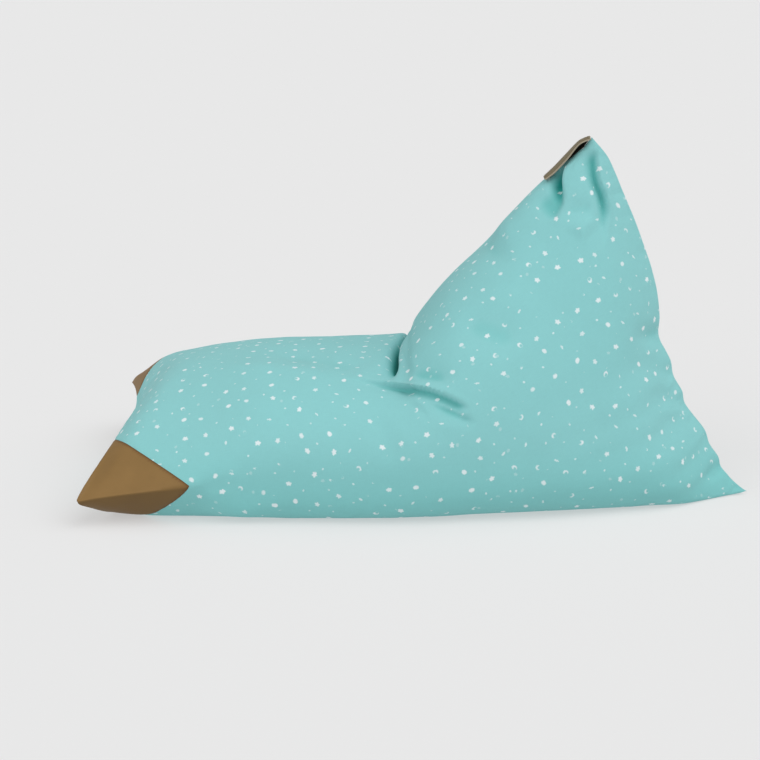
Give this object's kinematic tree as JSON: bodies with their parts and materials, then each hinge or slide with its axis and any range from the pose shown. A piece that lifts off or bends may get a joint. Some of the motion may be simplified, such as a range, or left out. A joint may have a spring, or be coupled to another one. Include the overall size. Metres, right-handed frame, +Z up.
{
  "type": "star print lounger pouf",
  "caption": "Low bean-bag style lounger pouf with a wide seat, a pointed backrest, contrast corner caps at the foot end and a small strap handle at the peak.",
  "frame": {"origin": "centre of the bounding box at the floor", "axes": "+Z up, +X from the foot end towards the backrest, so that +X is the longest extent, and +Y towards the far side of the seat"},
  "size_m": [1.21, 0.6702, 0.6524],
  "materials": {
    "printed_cloth": "matt woven cotton with a small scattered print",
    "brown_leather": "smooth leatherette with a soft sheen"
  },
  "bodies": {
    "root": {"bag": "printed_cloth", "corner_near": "brown_leather", "corner_far": "brown_leather", "handle": "brown_leather"}
  },
  "joints": []
}
